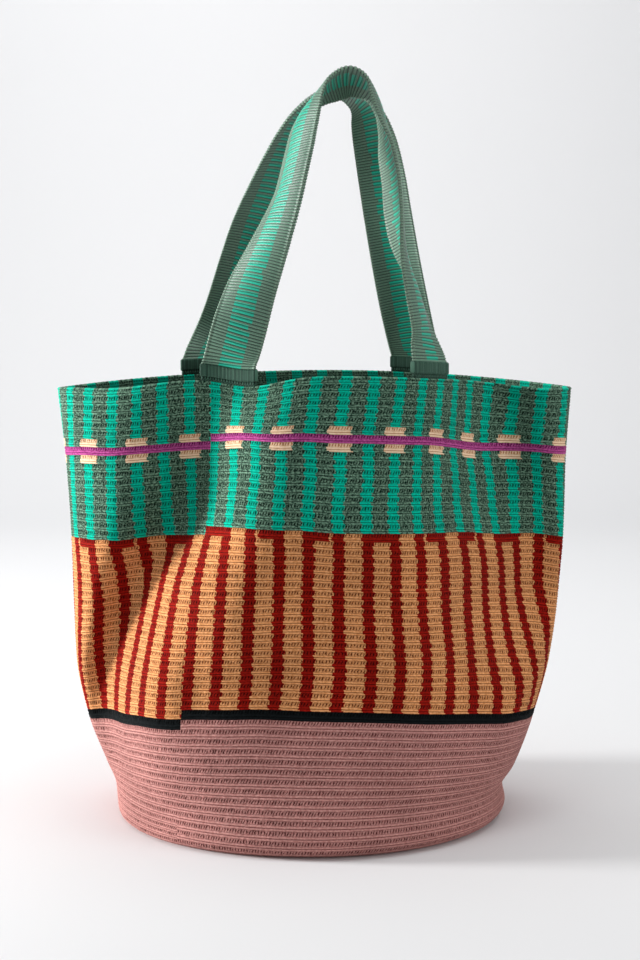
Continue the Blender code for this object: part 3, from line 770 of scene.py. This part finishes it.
# Yarn sewn over and over, from the strap's end into the rim
seam = {
    "radius": 2.0, "wrapPitch": 2.2, "wrapDepth": 0.4, "endDepth": 0.75, "wrapShade": 0.6,
    "samples": 81, "sides": 12,
    "yarn": {"light": "#3F6855", "dark": "#213F32", "paintedSlitShade": "#0B1C15", "fleck": 0.7},
}
# Woven cotton in two colours, closer and a little shinier than the crochet
webbing = {
    "greyGreen": {"light": "#7FA48C", "dark": "#204A39", "paintedSlitShade": "#050F0A", "fleck": 0.8},
    "teal": {"light": "#10D0AC", "dark": "#00846C", "paintedSlitShade": "#01382B", "fleck": 0.6},
    "selvedge": {"light": "#8CAA92", "dark": "#2C5341", "paintedSlitShade": "#08160F", "fleck": 0.7},
}
webbingOrder = list(webbing)
webbingMaterials = [cottonYarn(name + "CottonWebbing", webbing[name], webbingLook)
                    for name in webbingOrder]
whippedYarn = cottonYarn("whippedCottonYarn", binding["yarn"], whippingLook)
seamYarn = cottonYarn("overcastCottonYarn", seam["yarn"], whippingLook)

# Routes of the straps between their ends: sideways, back, up, the heading in degrees of the
# width, 0 to the right and -90 towards the front, and the rise of the width
routes = {
    "front": (
        (-58, -80, 409, -8, 0), (-49, -74, 438, -20, 0), (-35.5, -62, 472, -40, 0),
        (-26, -54, 496.5, -52, 0), (-18.5, -45, 519.5, -60, 0), (-11.5, -32, 550.5, -61, 0),
        (-7.5, -26, 568.5, -62, 0.05), (-2, -22, 582, -68, 0.15), (5.5, -19, 592, -78, 0.3),
        (16, -17, 601, -89, 0.45), (29, -15.5, 606, -95, 0.5), (41.5, -15.5, 600.5, -98, 0.45),
        (48.5, -17.5, 588, -98, 0.3), (53.5, -21, 570.5, -90, 0.1), (58, -25, 550.5, -77, 0),
        (62, -29.5, 528, -75, 0), (64.5, -34.5, 498, -75, 0), (67.5, -39, 474.5, -82, 0),
        (73, -43, 453, -94, 0), (81, -47, 428, -106, 0), (89, -50, 400, -116, 0),
    ),
    "back": (
        (-79.5, 98, 412, 6, 0), (-64, 88, 457.5, 11, 0), (-52, 79, 493.5, 20, 0),
        (-39.5, 68, 525.5, 37, 0), (-28, 58, 552, 50, 0), (-19, 52, 571, 60, 0),
        (-10, 48, 587, 72, 0), (2.5, 45, 599, 84, 0), (17, 44, 604, 93, 0),
        (31, 45, 600.5, 105, 0), (43.5, 46.5, 588.5, 126, 0), (51.5, 51, 565, 146, 0),
        (58, 57.5, 535, 157, 0), (63.5, 65, 504, 161, 0), (71.5, 76, 462, 166, 0),
        (80, 88, 422.5, 172, 0),
    ),
}

# Across the strap: place in shares of the width, and thickness as a share of the full one
strapSection = (
    (-0.5, 0.3), (-0.49, 0.95), (-0.468, 1.2), (-0.448, 0.8), (-0.41, 1.0), (-0.35, 1.0),
    (-0.28, 1.0), (-0.19, 1.0), (-0.14, 1.0), (-0.07, 1.0), (0.0, 1.0), (0.08, 1.0), (0.17, 1.0),
    (0.22, 1.0), (0.29, 1.0), (0.36, 1.0), (0.41, 1.0), (0.448, 0.8), (0.468, 1.2), (0.49, 0.95),
    (0.5, 0.3),
)


def rimLine(side, middleX, length, lift, count):
    # points along the rim under a strap end, from left to right
    rim = wallTable[-1]
    places = np.where(rim[:-1, 5] < 0 if side == "front" else rim[:-1, 5] > 0)[0]
    middle = places[int(np.argmin(np.abs(rim[places, 0] - middleX)))] / columnCount
    around = np.hypot(*np.diff(rim[:, :2], axis=0).T).sum()
    spread = np.linspace(-length / 2, length / 2, count) / around
    if side == "back":
        spread = -spread
    return onWall(np.full(count, wallTop), middle + spread, inset=bag["thickness"] / 2, lift=lift)


def sidesOf(line):
    ahead = np.gradient(line, axis=0)
    sides = np.column_stack((ahead[:, 1], -ahead[:, 0], np.zeros(len(line))))
    return sides / np.linalg.norm(sides, axis=1)[:, None]


def smoothRoute(points, samples):
    # an even walk along a smooth curve through the points, and its length
    padded = np.vstack((2 * points[0] - points[1], points, 2 * points[-1] - points[-2]))
    dense = []
    for a, b, c, d in zip(padded, padded[1:], padded[2:], padded[3:]):
        for t in np.linspace(0, 1, strap["curveSteps"], endpoint=False):
            dense.append(0.5 * (2 * b + (c - a) * t + (2 * a - 5 * b + 4 * c - d) * t * t
                                + (3 * b - a - 3 * c + d) * t ** 3))
    dense = np.array(dense + [points[-1]])
    way = np.concatenate(([0.0], np.cumsum(np.linalg.norm(np.diff(dense[:, :3], axis=0), axis=1))))
    places = np.linspace(0, way[-1], samples)
    return np.column_stack([np.interp(places, way, row) for row in dense.T]), way[-1]


def strapFeet(side, spots):
    # where the left end and the right end stand on their bindings
    footLift = 3 * strap["gap"] + 2 * seam["radius"] + binding["height"]
    even = np.linspace(-0.5, 0.5, strap["footSamples"])
    feet = []
    for middleX in strap["ends"][side]:
        foot = rimLine(side, middleX, strap["width"], footLift, len(even))
        feet.append(np.column_stack([np.interp(spots, even, row) for row in foot.T]))
    return feet


def strapStops(side, left, right):
    headings = []
    for foot, sign in ((left, 1), (right, -1)):
        span = (foot[-1] - foot[0]) * sign
        headings.append(math.degrees(math.atan2(span[1], span[0])))
    if side == "back" and headings[1] < 0:
        headings[1] += 360
    return np.array([(*left.mean(axis=0), headings[0], 0), *routes[side],
                     (*right.mean(axis=0), headings[1], 0)], dtype=float)


def strapDirections(path, fromEnd):
    # across the width and out of the face, at every step of the path
    count = len(path)
    ahead = np.gradient(path[:, :3], axis=0)
    ahead /= np.linalg.norm(ahead, axis=1)[:, None]
    upright = np.where(np.arange(count) < count / 2, 1.0, -1.0)[:, None] * np.array((0, 0, 1.0))
    turned = easeIn(fromEnd / strap["uprightReach"])[:, None]
    ahead = ahead * turned + upright * (1 - turned)
    ahead /= np.linalg.norm(ahead, axis=1)[:, None]
    heading = np.radians(path[:, 3])
    wide = np.column_stack((np.cos(heading), np.sin(heading), path[:, 4]))
    wide -= ahead * np.sum(wide * ahead, axis=1)[:, None]
    wide /= np.linalg.norm(wide, axis=1)[:, None]
    return wide, np.cross(wide, ahead)


def strapColours(spots, count):
    # teal on most of every pair of ribs, with uneven ends, and a selvedge at each side
    middles = (spots[1:] + spots[:-1]) / 2 + 0.5
    edge = webbingOrder.index("selvedge")
    pair = 2 * strap["ribSteps"]
    ends = chance.normal(0, strap["stagger"], (count // pair + 1, 2))
    ends = ends + (strap["tealFrom"], strap["tealTo"])
    colours = []
    for k in range(count - 1):
        tealFrom, tealTo = ends[k // pair]
        teal = (k % pair < strap["tealSteps"]) & (middles > tealFrom) & (middles < tealTo)
        row = np.where(teal, webbingOrder.index("teal"), webbingOrder.index("greyGreen"))
        row = np.where(np.abs(middles - 0.5) > 0.5 - strap["selvedge"], edge, row)
        colours.append(np.concatenate((row, [edge], row[::-1], [edge])))
    return np.array(colours)


def makeStrap(side):
    spots, thicknesses = np.array(strapSection).T
    left, right = strapFeet(side, spots)
    stops = strapStops(side, left, right)
    length = smoothRoute(stops, 10)[1]
    ribs = int(length / strap["ribPitch"])
    path, length = smoothRoute(stops, ribs * strap["ribSteps"] + 1)
    count = len(path)
    fromEnd = np.minimum(np.arange(count), np.arange(count)[::-1]) * length / (count - 1)
    wide, face = strapDirections(path, fromEnd)
    outward = 1.0 if side == "front" else -1.0
    bow = strap["bow"] * easeIn(fromEnd / strap["bowReach"]) * outward
    hold = np.clip(1 - fromEnd / strap["footReach"], 0, 1) ** 2
    groove = np.where(np.arange(count) % strap["ribSteps"] == 0, 1.0, 0.0)
    groove[[0, -1]] = 0.0
    half = strap["thickness"] / 2 * thicknesses
    rows, depths = [], []
    for k in range(count):
        width = strap["width"] - strap["edgeNotch"] * groove[k]
        line = path[k, :3] + wide[k] * (spots * width)[:, None]
        line = line + face[k] * (bow[k] * (1 - (2 * spots) ** 2))[:, None]
        if hold[k] > 0:
            foot = left if k < count / 2 else right[::-1]
            flat = foot.mean(axis=0) + wide[k] * (spots * strap["width"])[:, None]
            line = line + (foot - flat) * hold[k]
        uneven = chance.normal(0, strap["unevenness"], len(spots))
        sunk = strap["ribDepth"] * groove[k] + uneven
        outer = line + face[k] * (half - sunk)[:, None]
        inner = line - face[k] * (half - sunk)[:, None]
        rows.append(np.vstack((outer, inner[::-1])))
        # painted shade where the weft lies deeper than even
        tone = np.clip(uneven, 0, 1)
        depths.append(np.concatenate((tone, tone[::-1])))
    strands = np.concatenate((spots, spots[::-1])) * strap["width"] / strap["strandPitch"]
    ribsAlong = np.arange(count)[:, None] / strap["ribSteps"]
    piece = gridPiece(side + "_strap_webbing", np.array(rows), strapColours(spots, count),
                      np.array(depths), (strands, ribsAlong), webbingMaterials, side + "_strap",
                      closed=True)


def bindingSection(tall):
    half, bevel = binding["thickness"] / 2, binding["bevel"]
    corners = ((half, 0, -90), (half, tall, 0), (-half, tall, 90), (-half, 0, 180))
    points = []
    for cornerX, cornerZ, start in corners:
        inX = cornerX - math.copysign(bevel, cornerX)
        inZ = bevel if cornerZ == 0 else tall - bevel
        for turn in np.radians(np.linspace(start, start + 90, binding["bevelSteps"])):
            points.append((inX + bevel * math.cos(turn), inZ + bevel * math.sin(turn)))
    return np.array(points)


def makeBinding(place, side, middleX):
    low = 2 * strap["gap"] + 2 * seam["radius"] - 2 * strap["bite"]
    tall = binding["height"] + 3 * strap["bite"]
    length = strap["width"] + 2 * binding["overhang"]
    strokes = int(length / binding["strokePitch"])
    line = rimLine(side, middleX, length, low, strokes * 2 + 1)
    sides = sidesOf(line)
    outline = bindingSection(tall)
    middle = np.array((0, tall / 2))
    out = outline - middle
    rows, depths = [], []
    for k, point in enumerate(line):
        between = k % 2 == 1
        ends = k in (0, len(line) - 1)
        sunk = ((binding["strokeDepth"] if between else 0.0)
                + chance.normal(0, binding["unevenness"], len(outline))
                + (binding["endDepth"] if ends else 0))
        shrunk = middle + out * (1 - sunk / np.linalg.norm(out, axis=1))[:, None]
        rows.append(point + sides[k] * shrunk[:, :1] + np.array((0, 0, 1)) * shrunk[:, 1:])
        # painted shade between the strokes
        depths.append(np.full(len(outline), binding["strokeShade"] if between else 0.0))
    colours = np.zeros((len(line) - 1, len(outline)))
    strokesAlong = np.arange(len(line))[:, None] / 2
    piece = gridPiece(place + "_whipped_band", np.array(rows), colours, np.array(depths),
                      (strokesAlong, 0.5), [whippedYarn], place + "_end_binding", closed=True)


def makeSeam(place, side, middleX):
    count = seam["samples"]
    radius = seam["radius"] + strap["bite"] / 2
    lift = strap["gap"] + seam["radius"] - strap["bite"]
    line = rimLine(side, middleX, strap["width"], lift, count)
    sides = sidesOf(line)
    turns = np.linspace(0, 2 * math.pi, seam["sides"], endpoint=False)
    rows, depths, wraps = [], [], []
    for k, point in enumerate(line):
        phase = k * strap["width"] / (count - 1) / seam["wrapPitch"] * 2 * math.pi
        wrap = 0.5 - 0.5 * np.cos(phase + turns)
        end = seam["endDepth"] if k in (0, count - 1) else 0.0
        reach = radius - seam["wrapDepth"] * (1 - wrap) - end
        rows.append(point + sides[k] * (np.cos(turns) * reach)[:, None]
                    + np.array((0, 0, 1)) * (np.sin(turns) * reach)[:, None])
        # painted shade in the grooves between the wraps
        depths.append(seam["wrapShade"] * (1 - wrap))
        wraps.append((phase + turns) / (2 * math.pi) + 0.5)
    colours = np.zeros((count - 1, len(turns)))
    piece = gridPiece(place + "_overcast_seam", np.array(rows), colours, np.array(depths),
                      (np.array(wraps), 0.5), [seamYarn], place + "_seam_roll", closed=True)


for strapSide in ("front", "back"):
    makeStrap(strapSide)
    for endName, endX in zip(("left", "right"), strap["ends"][strapSide]):
        makeBinding(strapSide + "_" + endName, strapSide, endX)
        makeSeam(strapSide + "_" + endName, strapSide, endX)
print("straps done")
